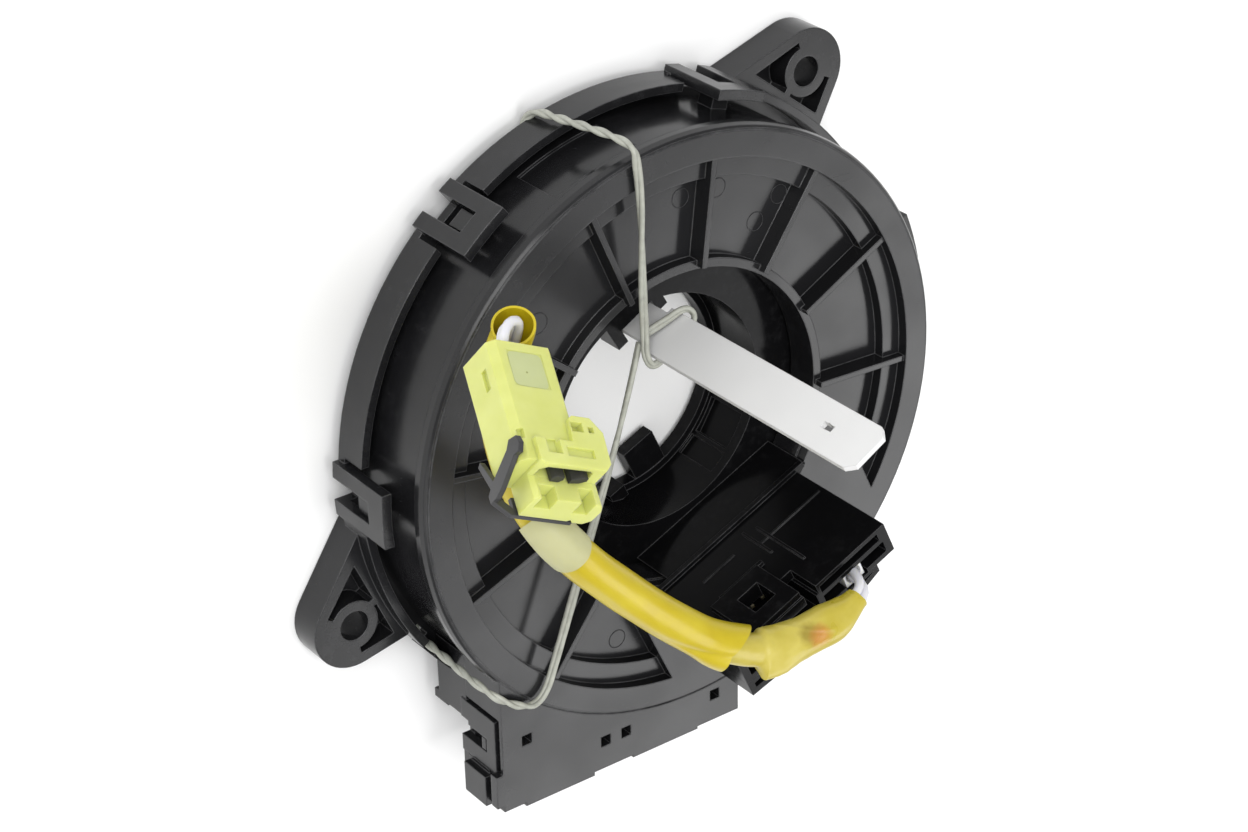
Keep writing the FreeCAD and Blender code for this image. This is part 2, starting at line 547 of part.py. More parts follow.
# ------------------------------------------------------------------ lock strip
strip_body = pad("strip_body", [
    (-3.25, ex("strip_foot")), (3.25, ex("strip_foot")), (3.25, 18.9), (ex("strip_wide", 0.0, 0.5), 18.9),
    (ex("strip_wide", 0.0, 0.5), ex("strip_top", -1.6)), (ex("strip_wide", -1.3, 0.5), ex("strip_top")),
    (ex("strip_wide", 1.3, -0.5), ex("strip_top")), (ex("strip_wide", 0.0, -0.5), ex("strip_top", -1.6)),
    (ex("strip_wide", 0.0, -0.5), 18.9), (-3.25, 18.9)],
    0.0, ex("strip_thick"))
strip_slot = box("strip_mark", -0.5, 61.15, -1.0, 1.1, 2.3, 3.0)
lock_strip = cut("lock_strip_solid", strip_body, [strip_slot])
sa = math.radians(STRIP_ANGLE)
out = Vector(math.cos(sa), math.sin(sa), 0)
m = Matrix()
along = Vector(math.sin(sa), -math.cos(sa), 0)      # width direction
for i, v in enumerate((along, Vector(0, 0, 1), along.cross(Vector(0, 0, 1)))):
    for j, w in enumerate((v.x, v.y, v.z)):
        setattr(m, "A%d%d" % (j + 1, i + 1), w)
lift = along.cross(Vector(0, 0, 1))
side = 1.0 if lift.dot(out) > 0 else -1.0
near = D["strip_near"] + (0.0 if side > 0 else D["strip_thick"])
base = out * near + along * STRIP_SHIFT
m.A14, m.A24 = base.x, base.y
node(lock_strip, "lock_strip", Placement(m))

# ------------------------------------------------------------- airbag connector
# Local frame: x across the width, y through the thickness, z along the plug
# from the wire end to the mating face.
E1 = Vector(-0.307, -0.479, 0.822)
E1.normalize()
E2 = Vector(0.908, -0.4027, 0.1047)
E2 = (E2 - E1 * E2.dot(E1))
E2.normalize()
E3 = E1.cross(E2)
CONN = Vector(-45.15, 33.73, 37.7)    # centre of the wire end
cm = Matrix()
for i, v in enumerate((E2, E3, E1)):
    for j, w in enumerate((v.x, v.y, v.z)):
        setattr(cm, "A%d%d" % (j + 1, i + 1), w)
cm.A14, cm.A24, cm.A34 = CONN.x, CONN.y, CONN.z
CONN_PLACE = Placement(cm)


def conn_point(x, y, z):
    return CONN + E2 * x + E3 * y + E1 * z


plug_body = pad("plug_body", [(-5.8, -3.7), (5.8, -3.7), (5.8, 2.6), (4.7, 3.7), (-4.7, 3.7), (-5.8, 2.6)], 0.0, 21.0)
# The nose is stepped: a low shelf in front, and above it a lobe that starts
# further back on the right.
plug_shelf = pad("plug_shelf", [
    (-3.3, -3.6), (5.1, -3.6), (5.6, -3.2), (6.2, -3.8), (8.0, -3.8), (9.1, -2.8), (9.2, -0.4), (8.6, 0.8),
    (7.5, 1.2), (-2.7, 1.2), (-3.3, 0.6)], 17.0, 8.8)
plug_lobe = plan_pad("plug_lobe", [
    (-3.3, 17.5), (3.4, 17.5), (3.9, 13.3), (4.5, 12.8), (7.7, 12.8), (9.5, 15.2), (9.3, 20.7), (8.2, 22.0),
    (-2.7, 22.0), (-3.3, 21.4)], 4.6, 8.0)
plug_rail = box("plug_rail", 5.6, -2.0, 2.0, 0.8, 3.4, 12.0)
plug_cuts = [
    box("plug_wires", -3.4, -1.9, -1.0, 6.8, 3.8, 5.0),
    pad("plug_terminal_slot", [(-2.7, 1.25), (5.0, 1.25), (6.4, 2.0), (6.4, 3.3), (5.7, 3.8), (-1.6, 3.6), (-2.7, 2.8)], 19.7, 3.0),
    box("shelf_pocket_left", -2.3, -1.3, 23.4, 2.9, 3.0, 3.0),
    box("shelf_pocket_right", 4.7, -1.5, 23.2, 2.6, 3.0, 3.0),
    box("lobe_pocket_a", 3.9, 3.2, 13.9, 2.1, 2.0, 1.7),
    box("lobe_pocket_b", 6.9, 3.4, 14.4, 1.0, 2.0, 1.1),
    box("lobe_scoop", -1.5, 3.3, 17.0, 2.5, 2.0, 3.0),
    box("lobe_groove", 1.9, 4.0, 18.6, 4.9, 1.0, 1.6),
    box("ridge_notch", -5.2, 2.9, 15.7, 0.9, 1.2, 1.7),
    box("top_panel", -3.3, 3.55, 1.5, 6.3, 1.0, 6.4),
    box("plug_side_slot", -6.4, -0.1, 3.6, 1.2, 1.2, 3.6),
]
node(cut("airbag_connector_solid", fuse("plug_all", [plug_body, plug_shelf, plug_lobe, plug_rail]), plug_cuts),
     "airbag_connector", CONN_PLACE)
# Secondary lock: a thin plate under the nose, with a forked arm up the side.
lock_arm = side_pad("lock_arm", [
    (4.6, 17.9), (4.9, 19.2), (4.2, 20.4), (3.1, 20.3), (-1.6, 23.0), (-3.2, 23.6), (-4.75, 23.6),
    (-4.75, 22.3), (-3.9, 21.6), (-5.3, 17.0), (-4.6, 16.5), (-2.9, 20.9), (1.8, 18.6), (2.8, 17.5)], -6.8, 0.85)
lock_base = plan_pad("lock_base", [
    (-6.8, 22.6), (-6.0, 22.4), (-3.5, 24.5), (-3.5, 22.5), (6.5, 22.5), (6.5, 25.6), (-4.2, 25.6), (-6.8, 23.6)], -4.0, 0.75)
node(fuse("connector_lock_solid", [lock_arm, lock_base]), "connector_lock", CONN_PLACE)
sockets_local = [pad("socket_term_0", [(-0.35, 1.45), (1.2, 1.45), (1.7, 2.1), (1.5, 2.9), (0.1, 2.9), (-0.4, 2.2)], 19.75, 3.1),
                 pad("socket_term_1", [(2.9, 1.5), (4.6, 1.8), (5.6, 2.5), (5.5, 3.2), (4.6, 3.3), (3.0, 2.4)], 19.75, 3.1)]
term = doc.addObject("Part::Compound", "airbag_terminals_set")
term.Links = sockets_local
node(term, "airbag_terminals", CONN_PLACE)

# ------------------------------------------------------------------- cords
def rounded(pts, name, dia, radii=None):
    """Straight runs joined by tangent arcs; returns the wire and prints radii."""
    pts = [Vector(*p) for p in pts]
    edges = []
    last = pts[0]
    out_r = []
    for i in range(1, len(pts) - 1):
        a, b, c = pts[i - 1], pts[i], pts[i + 1]
        u, w = (a - b), (c - b)
        la, lc = u.Length, w.Length
        u.normalize()
        w.normalize()
        turn = math.pi - math.acos(max(-1.0, min(1.0, u.dot(w))))
        run = 0.45 * min(la, lc)
        rad = run / math.tan(turn / 2.0)
        if radii and radii.get(i):
            rad = min(rad, radii[i])
            run = rad * math.tan(turn / 2.0)
        p, q = b + u * run, b + w * run
        bis = u + w
        bis.normalize()
        mid = b + bis * (rad / math.cos(turn / 2.0) - rad)
        edges.append(Part.LineSegment(last, p).toShape())
        edges.append(Part.Arc(p, mid, q).toShape())
        last = q
        out_r.append("%.1f" % rad)
    edges.append(Part.LineSegment(last, pts[-1]).toShape())
    wire = Part.Wire(edges)
    print("%s: length %.1f mm, radii %s (diameter %.2f)" % (name, wire.Length, " ".join(out_r), dia))
    return wire


def tube(wire, dia, name):
    e = wire.Edges[0]
    start = e.valueAt(e.FirstParameter)
    direc = e.tangentAt(e.FirstParameter)
    ring = Part.Wire(Part.makeCircle(dia / 2.0, start, direc))
    s = wire.makePipeShell([ring], True, True)
    want = math.pi * dia * dia / 4.0 * wire.Length
    print("  %s: volume %.1f, section x length %.1f, valid %s" % (name, s.Volume, want, s.isValid()))
    return s


def feature(label, shape):
    o = doc.addObject("Part::Feature", label + "_solid")
    o.Shape = shape
    return node(o, label)


def between(wire, s0, s1):
    """The piece of a wire from s0 to s1 along it."""
    out_e, run = [], 0.0
    for e in wire.Edges:
        n = e.Length
        a, b = max(s0 - run, 0.0), min(s1 - run, n)
        if b - a > 1e-6:
            p = e.getParameterByLength(a) if a > 1e-9 else e.FirstParameter
            q = e.getParameterByLength(b) if b < n - 1e-9 else e.LastParameter
            out_e.append(e.Curve.toShape(p, q))
        run += n
    return Part.Wire(out_e)


def nearest(wire, point):
    """How far along the wire the point nearest to the given one lies."""
    best, run = (1e9, 0.0), 0.0
    for e in wire.Edges:
        n = max(2, int(e.Length / 0.25))
        for i in range(n + 1):
            p = e.valueAt(e.FirstParameter + (e.LastParameter - e.FirstParameter) * i / n)
            best = min(best, (p.distanceToPoint(Vector(*point)), run + e.Length * i / n))
        run += e.Length
    return best[1]


def spot(al, d, z):
    a = math.radians(TOWER_ANGLE)
    return (al * math.cos(a) + d * math.sin(a), al * math.sin(a) - d * math.cos(a), z)


# Airbag lead: up out of the tower's right socket, over the tower's top, across
# in an arch to the rim, up behind the plug and round into its wire end.
LEAD = [spot(5.0, 26.95, 45.2), (15.2, -22.05, 51.3), (8.4, -25.0, 51.9),
        (0.7, -26.7, 51.5), (-8.6, -25.7, 51.2), (-17.2, -20.8, 51.3), (-25.6, -13.4, 51.4),
        (-34.2, -4.9, 51.6), (-42.8, 4.2, 52.4), (-49.6, 13.0, 52.2),
        tuple(conn_point(3.2, -9.7, 13.4)), tuple(conn_point(3.4, -9.6, 3.8)),
        tuple(conn_point(5.8, -8.8, -5.8)), tuple(conn_point(3.3, 0.8, -7.2)),
        tuple(conn_point(-1.8, 1.6, -3.6)), tuple(conn_point(-1.6, 0.1, 3.2))]
lead = rounded(LEAD, "airbag_wires", D["lead_dia"])
feature("airbag_wires", tube(lead, D["lead_dia"], "airbag_wires"))
print("lead route", [tuple(round(c, 2) for c in p) for p in LEAD])


def jacket(label, s0, s1, outer, inner):
    w = between(lead, s0, s1)
    shape = tube(w, outer, label).cut(tube(w, inner, label + " bore"))
    return feature(label, shape)


at_flare = nearest(lead, (-13.3, -23.2, 51.3))
at_tape0 = nearest(lead, (12.4, -23.3, 51.6))
at_end = nearest(lead, tuple(conn_point(4.1, -1.9, -6.8)))
at_anchor = nearest(lead, (-48.2, 11.4, 52.6))
print("along the lead:", at_tape0, at_flare, at_anchor, at_end)
jacket("tape_wrap", at_tape0, at_flare - 0.3, D["tape_dia"], D["lead_dia"] + 0.2)
jacket("lead_sleeve", at_flare, at_end, D["sleeve_dia"], D["sleeve_bore"])
jacket("anchor_tape", at_anchor - 4.6, at_anchor + 3.4, D["sleeve_dia"] + 0.7, D["sleeve_dia"] + 0.1)

# Plug that brings the wires into the tower.
wp = chord_box("wire_plug_block", 3.0, 7.0, 25.45, 28.55, 34.0, 46.4)
wp_hole = cyl("wire_plug_bore", ex("lead_dia", 0.1, 0.5), 45.1, 8.0, *spot(5.0, 26.95, 0)[:2])
node(cut("wire_plug_solid", wp, [wp_hole]), "wire_plug")

# Tie cord: once round the strip, over the front rim at the top, down the side,
# across the back, up the other side and over the face back to the knot.
def by_strip(w, d, z):
    w += STRIP_SHIFT
    return (d * math.cos(sa) + w * math.sin(sa), d * math.sin(sa) - w * math.cos(sa), z)


TIE = [by_strip(-2.2, 20.1, 20.7), by_strip(1.2, 19.7, 21.4), by_strip(5.6, 19.6, 22.3), by_strip(5.7, 16.3, 22.8),
       by_strip(0.5, 16.2, 23.2), by_strip(-5.6, 16.3, 23.9), by_strip(-5.7, 19.7, 24.0), by_strip(-3.4, 21.0, 22.2),
       (-9.2, 29.5, 22.7), (-10.0, 39.6, 23.8), (-10.5, 46.6, 24.2), (-11.0, 50.9, 24.2), (-11.2, 53.3, 24.1),
       (-12.0, 54.4, 21.5), (-13.6, 54.9, 16.4), (-14.9, 54.6, 8.6), (-15.7, 54.2, 1.5),
       (-19.6, 44.9, 1.45), (-26.6, 22.0, 1.5), (-34.5, -3.0, 1.45), (-40.6, -22.4, 1.5), (-43.4, -32.1, 1.5),
       (-43.5, -32.3, 11.0), (-42.9, -33.6, 21.4), (-39.9, -36.7, 24.8), (-32.6, -40.7, 24.3),
       (-28.6, -30.6, 24.2), (-22.2, -13.6, 24.0), (-14.2, 5.6, 23.2), by_strip(-4.4, 20.4, 21.4)]
TIE_TIGHT = {2: 1.2, 3: 1.2, 5: 1.2, 6: 1.2, 12: 1.2, 16: 1.3, 21: 1.3}
tie = rounded(TIE, "tie_cord", D["tie_dia"], TIE_TIGHT)
feature("tie_cord", tube(tie, D["tie_dia"], "tie_cord"))
print("tie route", [tuple(round(c, 2) for c in p) for p in TIE])

# ---------------------------------------------------------------- write it out
doc.recompute()
bad = 0
for o in doc.Objects:
    if "Invalid" in o.State or "Error" in o.State:
        bad += 1
        print("BAD", o.Name, o.State)
singles = ("harness_terminals_left", "harness_terminals_right", "tower_terminals", "airbag_terminals")
for o in NODES:
    sh = o.Shape
    bb = sh.BoundBox
    n = len(sh.Solids)
    flag = "" if sh.isValid() and (n == 1 or o.Label in singles) else "   <-- CHECK"
    print("%-24s solids %d vol %9.1f  x %.1f..%.1f y %.1f..%.1f z %.1f..%.1f%s" % (
        o.Label, n, sh.Volume, bb.XMin, bb.XMax, bb.YMin, bb.YMax, bb.ZMin, bb.ZMax, flag))
    if flag:
        bad += 1
if bad:
    raise RuntimeError("%d shapes need attention" % bad)
os.makedirs("parts", exist_ok=True)
for o in NODES:
    o.Shape.exportStep("parts/%s.step" % o.Label)
print("wrote", len(NODES), "parts")
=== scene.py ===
import bpy, bmesh, math, random
from mathutils import Vector, Matrix, noise


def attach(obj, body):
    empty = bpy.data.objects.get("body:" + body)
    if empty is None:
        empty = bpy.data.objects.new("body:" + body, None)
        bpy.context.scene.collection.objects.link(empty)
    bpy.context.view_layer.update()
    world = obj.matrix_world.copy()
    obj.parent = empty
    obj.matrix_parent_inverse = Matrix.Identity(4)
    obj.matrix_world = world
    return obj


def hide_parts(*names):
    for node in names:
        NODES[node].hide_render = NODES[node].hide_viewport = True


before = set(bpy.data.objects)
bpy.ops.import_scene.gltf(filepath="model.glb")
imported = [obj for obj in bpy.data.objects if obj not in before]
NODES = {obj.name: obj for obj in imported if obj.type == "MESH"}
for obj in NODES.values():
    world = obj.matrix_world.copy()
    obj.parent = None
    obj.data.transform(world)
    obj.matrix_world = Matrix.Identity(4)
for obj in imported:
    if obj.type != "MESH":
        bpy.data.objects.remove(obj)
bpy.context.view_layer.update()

SC = bpy.context.scene
MM = 0.001

# ------------------------------------------------------------------- camera
cam_data = bpy.data.cameras.new("view_camera")
cam_data.sensor_fit = "HORIZONTAL"
cam_data.sensor_width = 36.0
cam_data.lens = 2899.0 * 36.0 / 1248.0
cam_data.clip_start = 0.01
cam_data.clip_end = 20.0
cam = bpy.data.objects.new("view_camera", cam_data)
SC.collection.objects.link(cam)
right = Vector((0.801, -0.018, 0.598)).normalized()
back = Vector((-0.519, 0.476, 0.710)).normalized()
up = back.cross(right).normalized()
right = up.cross(back).normalized()
m = Matrix.Identity(4)
for i in range(3):
    m[i][0], m[i][1], m[i][2] = right[i], up[i], back[i]
m.translation = Vector((-0.2558, 0.2293, 0.3544))
cam.matrix_world = m
SC.camera = cam


# --------------------------------------------------------------------- cords
def route(name, pts, radius=0.0):
    """One smooth NURBS spline with the route's points (mm) as control points."""
    cd = bpy.data.curves.new(name, "CURVE")
    cd.dimensions = "3D"
    cd.resolution_u = 16
    sp = cd.splines.new("NURBS")
    sp.points.add(len(pts) - 1)
    for q, p in zip(sp.points, pts):
        q.co = (p[0] * MM, p[1] * MM, p[2] * MM, 1.0)
    sp.order_u = 3
    sp.use_endpoint_u = True
    cd.bevel_depth = radius
    o = bpy.data.objects.new(name, cd)
    SC.collection.objects.link(o)
    return o


def read_route(name, pts):
    """Points along the route's own spline, read from Blender."""
    o = route(name, pts)
    me = bpy.data.meshes.new_from_object(o)
    out = [v.co.copy() for v in me.vertices]
    bpy.data.objects.remove(o)
    bpy.data.meshes.remove(me)
    return out


def lengths(pts):
    s = [0.0]
    for a, b in zip(pts, pts[1:]):
        s.append(s[-1] + (b - a).length)
    return s


def at(pts, s, d):
    if d <= 0:
        return pts[0] + (pts[0] - pts[1]).normalized() * (-d)
    if d >= s[-1]:
        return pts[-1] + (pts[-1] - pts[-2]).normalized() * (d - s[-1])
    lo, hi = 0, len(s) - 1
    while hi - lo > 1:
        mid = (lo + hi) // 2
        if s[mid] <= d:
            lo = mid
        else:
            hi = mid
    t = (d - s[lo]) / max(1e-12, s[hi] - s[lo])
    return pts[lo].lerp(pts[hi], t)


def stations(pts, s0, s1, step):
    """Even stations with rotation-minimising frames: (place, point, tangent, a, b)."""
    s = lengths(pts)
    n = max(2, int(round((s1 - s0) / step)))
    ds = [s0 + (s1 - s0) * i / n for i in range(n + 1)]
    ps = [at(pts, s, d) for d in ds]
    e = step * 0.5
    ts = [(at(pts, s, d + e) - at(pts, s, d - e)).normalized() for d in ds]
    a = ts[0].orthogonal().normalized()
    out = []
    for d, p, t in zip(ds, ps, ts):
        a = (a - t * a.dot(t)).normalized()
        out.append((d, p, t, a, t.cross(a)))
    return out


LEAD = [(15.61, -22.53, 45.2), (15.2, -22.05, 51.3), (8.4, -25.0, 51.9), (0.7, -26.7, 51.5),
        (-8.6, -25.7, 51.2), (-17.2, -20.8, 51.3), (-25.6, -13.4, 51.4), (-34.2, -4.9, 51.6),
        (-42.8, 4.2, 52.4), (-49.6, 13.0, 52.2), (-49.08, 18.46, 43.63), (-45.93, 23.05, 35.81),
        (-40.57, 27.31, 28.62), (-39.71, 36.47, 32.57), (-45.23, 37.43, 35.45), (-47.56, 32.92, 40.22)]
TIE = [(-6.99, 19.14, 20.7), (-3.83, 20.46, 21.4), (0.04, 22.54, 22.3), (1.76, 19.72, 22.8),
       (-2.72, 17.07, 23.2), (-8.08, 14.16, 23.9), (-9.84, 17.07, 24.0), (-8.48, 19.33, 22.2),
       (-9.2, 29.5, 22.7), (-10.0, 39.6, 23.8), (-10.5, 46.6, 24.2), (-11.0, 50.9, 24.2),
       (-11.2, 53.3, 24.1), (-12.0, 54.4, 21.5), (-13.6, 54.9, 16.4), (-14.9, 54.6, 8.6),
       (-15.7, 54.2, 1.5), (-19.6, 44.9, 1.45), (-26.6, 22.0, 1.5), (-34.5, -3.0, 1.45),
       (-40.6, -22.4, 1.5), (-43.4, -32.1, 1.5), (-43.5, -32.3, 11.0), (-42.9, -33.6, 21.4),
       (-39.9, -36.7, 24.8), (-32.6, -40.7, 24.3), (-28.6, -30.6, 24.2), (-22.2, -13.6, 24.0),
       (-14.2, 5.6, 23.2), (-9.05, 18.32, 21.4)]
lead_line = read_route("lead_route", LEAD)
tie_line = read_route("tie_route", TIE)
LEAD_LEN = lengths(lead_line)[-1]


# th = 0 in a shape function is the side of a tube that faces this way.
FRONT = Vector((-0.519, 0.476, 0.710))


def link(name, mesh):
    o = bpy.data.objects.new(name, mesh)
    SC.collection.objects.link(o)
    return o


def smooth(o, angle=40.0):
    for p in o.data.polygons:
        p.use_smooth = True
    md = o.modifiers.new("edges", "EDGE_SPLIT")
    md.split_angle = math.radians(angle)
    return o


def sweep(name, st, sides, fn, cap=True, closed_loop=False):
    """Rings of fn(i, station, angle) -> point; UV u round, v along in mm."""
    bm = bmesh.new()
    uv = bm.loops.layers.uv.new("UVMap")
    rings = []
    for i, q in enumerate(st):
        rings.append([bm.verts.new(fn(i, q, 2 * math.pi * k / sides)) for k in range(sides)])
    for i in range(len(rings) - 1):
        for k in range(sides):
            k2 = (k + 1) % sides
            f = bm.faces.new((rings[i][k], rings[i][k2], rings[i + 1][k2], rings[i + 1][k]))
            vals = ((k, i), (k + 1, i), (k + 1, i + 1), (k, i + 1))
            for lp, (kk, ii) in zip(f.loops, vals):
                lp[uv].uv = (kk / sides, st[ii][0] * 1000.0 * 0.05)
    if cap:
        bm.faces.new(list(reversed(rings[0])))
        bm.faces.new(rings[-1])
    me = bpy.data.meshes.new(name)
    bmesh.ops.recalc_face_normals(bm, faces=bm.faces)
    bm.to_mesh(me)
    bm.free()
    o = link(name, me)
    for p in me.polygons:
        p.use_smooth = True
    return o


def strands(name, pts, s0, s1, count, r_strand, r_off, pitch, step, sides=10, phase=0.0):
    """Twisted strands round the line, as one mesh."""
    st = stations(pts, s0, s1, step)
    objs = []
    for c in range(count):
        def fn(i, q, th, c=c):
            d, p, t, a, b = q
            ph = phase + 2 * math.pi * (c / count + d / pitch)
            off = a * math.cos(ph) + b * math.sin(ph)
            tilt = (t + (b * math.cos(ph) - a * math.sin(ph)) * (2 * math.pi * r_off / pitch)).normalized()
            x = off
            y = tilt.cross(x).normalized()
            return p + off * r_off + (x * math.cos(th) + y * math.sin(th)) * r_strand
        objs.append(sweep("%s_%d" % (name, c), st, sides, fn))
    ctx = objs[0]
    bm = bmesh.new()
    for o in objs:
        bm.from_mesh(o.data)
    for o in objs[1:]:
        bpy.data.objects.remove(o)
    bm.to_mesh(ctx.data)
    bm.free()
    ctx.name = name
    for p in ctx.data.polygons:
        p.use_smooth = True
    return ctx


wires = strands("airbag_wire_pair", lead_line, 0.0, LEAD_LEN, 2, 0.00078, 0.00076, 0.075, 0.0012, 14, 0.9)
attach(wires, "rotor")
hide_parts("airbag_wires")

def laid_pair(name, pts, r_strand, r_off, step, sides, fan):
    """Two strands side by side; fan(d) turns the pair round the line."""
    st = stations(pts, 0.0, lengths(pts)[-1], step)
    flat = Vector((-0.519, 0.476, 0.710))
    parts = []
    for sgn in (1.0, -1.0):
        def fn(i, q, th, sgn=sgn):
            d, p, t, a, b = q
            e = t.cross(flat).normalized()
            g = t.cross(e).normalized()
            ang = fan(d)
            off = e * math.cos(ang) + g * math.sin(ang)
            y = t.cross(off).normalized()
            rs = r_strand * (1.0 + 0.07 * noise.noise(Vector((d * 420.0, sgn * 3.0, 1.7))))
            return p + off * (r_off * sgn) + (off * math.cos(th) + y * math.sin(th)) * rs
        parts.append(sweep("%s_%d" % (name, int(sgn)), st, sides, fn))
    bm = bmesh.new()
    for o in parts:
        bm.from_mesh(o.data)
    bpy.data.objects.remove(parts[1])
    bm.to_mesh(parts[0].data)
    bm.free()
    parts[0].name = name
    for p in parts[0].data.polygons:
        p.use_smooth = True
    return parts[0]


TWISTED = ((0.0, 58.0, 60.0), (58.0, 61.0, 12.0), (61.0, 86.0, 8.0), (86.0, 176.0, 14.0), (176.0, 202.0, 8.4),
           (202.0, 400.0, 150.0))


def tie_fan(d):
    """Turns of the pair: (from mm, to mm, lay length in mm), tight over the sides of the drum."""
    mm = d * 1000.0
    turn = 0.12
    for lo, hi, lay in TWISTED:
        if mm > lo:
            turn += (min(mm, hi) - lo) / lay * 2 * math.pi
    return turn + 0.2 * math.sin(mm * 0.13)


tie = laid_pair("tie_twine", tie_line, 0.00045, 0.00029, 0.0005, 14, tie_fan)
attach(tie, "stator")
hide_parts("tie_cord")


# ----------------------------------------------------------------- materials
def new_mat(name):
    mt = bpy.data.materials.new(name)
    mt.use_nodes = True
    nt = mt.node_tree
    for n in list(nt.nodes):
        nt.nodes.remove(n)
    out = nt.nodes.new("ShaderNodeOutputMaterial")
    b = nt.nodes.new("ShaderNodeBsdfPrincipled")
    nt.links.new(b.outputs[0], out.inputs[0])
    return mt, nt, b


def tex(nt, kind, coord, **kw):
    n = nt.nodes.new(kind)
    nt.links.new(coord, n.inputs["Vector"])
    for k, v in kw.items():
        n.inputs[k].default_value = v
    return n


def ramp(nt, src, stops):
    r = nt.nodes.new("ShaderNodeValToRGB")
    while len(r.color_ramp.elements) < len(stops):
        r.color_ramp.elements.new(0.5)
    for e, (p, c) in zip(r.color_ramp.elements, stops):
        e.position = p
        e.color = c if len(c) == 4 else (*c, 1.0)
    nt.links.new(src, r.inputs[0])
    return r


def grey(v):
    return (v, v, v, 1.0)


def scaled(nt, coord, v):
    mp = nt.nodes.new("ShaderNodeMapping")
    mp.inputs["Scale"].default_value = v
    nt.links.new(coord, mp.inputs["Vector"])
    return mp.outputs[0]


def rounded_edges(nt, radius, samples=4):
    """Softened edges in the shading, so that every moulded edge catches the light."""
    bv = nt.nodes.new("ShaderNodeBevel")
    bv.samples = samples
    bv.inputs["Radius"].default_value = radius
    return bv.outputs[0]


def moulded(name, lo, hi, r0, r1, grain=0.06, dust=0.0, spec=0.5, mark=0.2, edge=0.00022, coat=0.0, edge_highlight=0.0):
    """Injection-moulded plastic: faint flow lines, spark-eroded grain, dusty edges, and a painted edge highlight (a
    patchy lighter colour along the edges).
    """
    mt, nt, b = new_mat(name)
    co = nt.nodes.new("ShaderNodeTexCoord").outputs["Object"]
    cloud = tex(nt, "ShaderNodeTexNoise", co, Scale=38.0, Detail=3.0, Roughness=0.5)
    col = ramp(nt, cloud.outputs["Fac"], [(0.3, lo), (0.72, hi)])
    fine = tex(nt, "ShaderNodeTexNoise", co, Scale=3200.0, Detail=2.0, Roughness=0.6)
    flow = tex(nt, "ShaderNodeTexNoise", scaled(nt, co, (1.0, 1.0, 3.0)), Scale=70.0, Detail=2.5, Roughness=0.5)
    rr = ramp(nt, flow.outputs["Fac"], [(0.32, grey(r0)), (0.68, grey(r1))])
    scr = tex(nt, "ShaderNodeTexNoise", scaled(nt, co, (1.0, 14.0, 3.0)), Scale=210.0, Detail=6.0, Roughness=0.7)
    sr0 = ramp(nt, scr.outputs["Fac"], [(0.62, grey(0.0)), (0.74, grey(0.05))])
    add = nt.nodes.new("ShaderNodeMath")
    add.operation = "ADD"
    nt.links.new(rr.outputs[0], add.inputs[0])
    nt.links.new(sr0.outputs[0], add.inputs[1])
    nt.links.new(add.outputs[0], b.inputs["Roughness"])
    last = col.outputs[0]
    if dust:
        geo = nt.nodes.new("ShaderNodeNewGeometry")
        rim = ramp(nt, geo.outputs["Pointiness"], [(0.52, grey(0.0)), (0.62, grey(1.0))])
        spots = tex(nt, "ShaderNodeTexNoise", co, Scale=420.0, Detail=4.0, Roughness=0.75)
        sr = ramp(nt, spots.outputs["Fac"], [(0.5, grey(0.0)), (0.72, grey(dust))])
        mul = nt.nodes.new("ShaderNodeMath")
        mul.operation = "MULTIPLY"
        nt.links.new(rim.outputs[0], mul.inputs[0])
        nt.links.new(sr.outputs[0], mul.inputs[1])
        mx = nt.nodes.new("ShaderNodeMix")
        mx.data_type = "RGBA"
        nt.links.new(mul.outputs[0], mx.inputs[0])
        nt.links.new(last, mx.inputs[6])
        mx.inputs[7].default_value = (0.10, 0.10, 0.105, 1.0)
        last = mx.outputs[2]
    # Painted edge highlight: a patchy lighter grey mixed in where the rounded-edge normal leans away from the face
    # normal, standing in for glints on the edges.
    if edge and edge_highlight:
        gn = nt.nodes.new("ShaderNodeNewGeometry")
        dot = nt.nodes.new("ShaderNodeVectorMath")
        dot.operation = "DOT_PRODUCT"
        nt.links.new(rounded_edges(nt, edge), dot.inputs[0])
        nt.links.new(gn.outputs["Normal"], dot.inputs[1])
        edge_highlight_mask = ramp(nt, dot.outputs["Value"], [(0.80, grey(edge_highlight)), (0.975, grey(0.0))])
        patchy = tex(nt, "ShaderNodeTexNoise", co, Scale=150.0, Detail=4.0, Roughness=0.7)
        pr = ramp(nt, patchy.outputs["Fac"], [(0.34, grey(0.25)), (0.62, grey(1.0))])
        mul = nt.nodes.new("ShaderNodeMath")
        mul.operation = "MULTIPLY"
        nt.links.new(edge_highlight_mask.outputs[0], mul.inputs[0])
        nt.links.new(pr.outputs[0], mul.inputs[1])
        mx = nt.nodes.new("ShaderNodeMix")
        mx.data_type = "RGBA"
        nt.links.new(mul.outputs[0], mx.inputs[0])
        nt.links.new(last, mx.inputs[6])
        mx.inputs[7].default_value = (0.16, 0.16, 0.165, 1.0)
        last = mx.outputs[2]
    nt.links.new(last, b.inputs["Base Color"])
    b.inputs["Specular IOR Level"].default_value = spec
    if coat:
        b.inputs["Coat Weight"].default_value = coat
        b.inputs["Coat Roughness"].default_value = 0.16
    b1 = nt.nodes.new("ShaderNodeBump")
    b1.inputs["Strength"].default_value = grain
    b1.inputs["Distance"].default_value = 0.00005
    nt.links.new(fine.outputs["Fac"], b1.inputs["Height"])
    if edge:
        nt.links.new(rounded_edges(nt, edge), b1.inputs["Normal"])
    b2 = nt.nodes.new("ShaderNodeBump")
    b2.inputs["Strength"].default_value = 0.10 * mark
    b2.inputs["Distance"].default_value = 0.0008
    nt.links.new(flow.outputs["Fac"], b2.inputs["Height"])
    nt.links.new(b1.outputs[0], b2.inputs["Normal"])
    nt.links.new(b2.outputs[0], b.inputs["Normal"])
    return mt


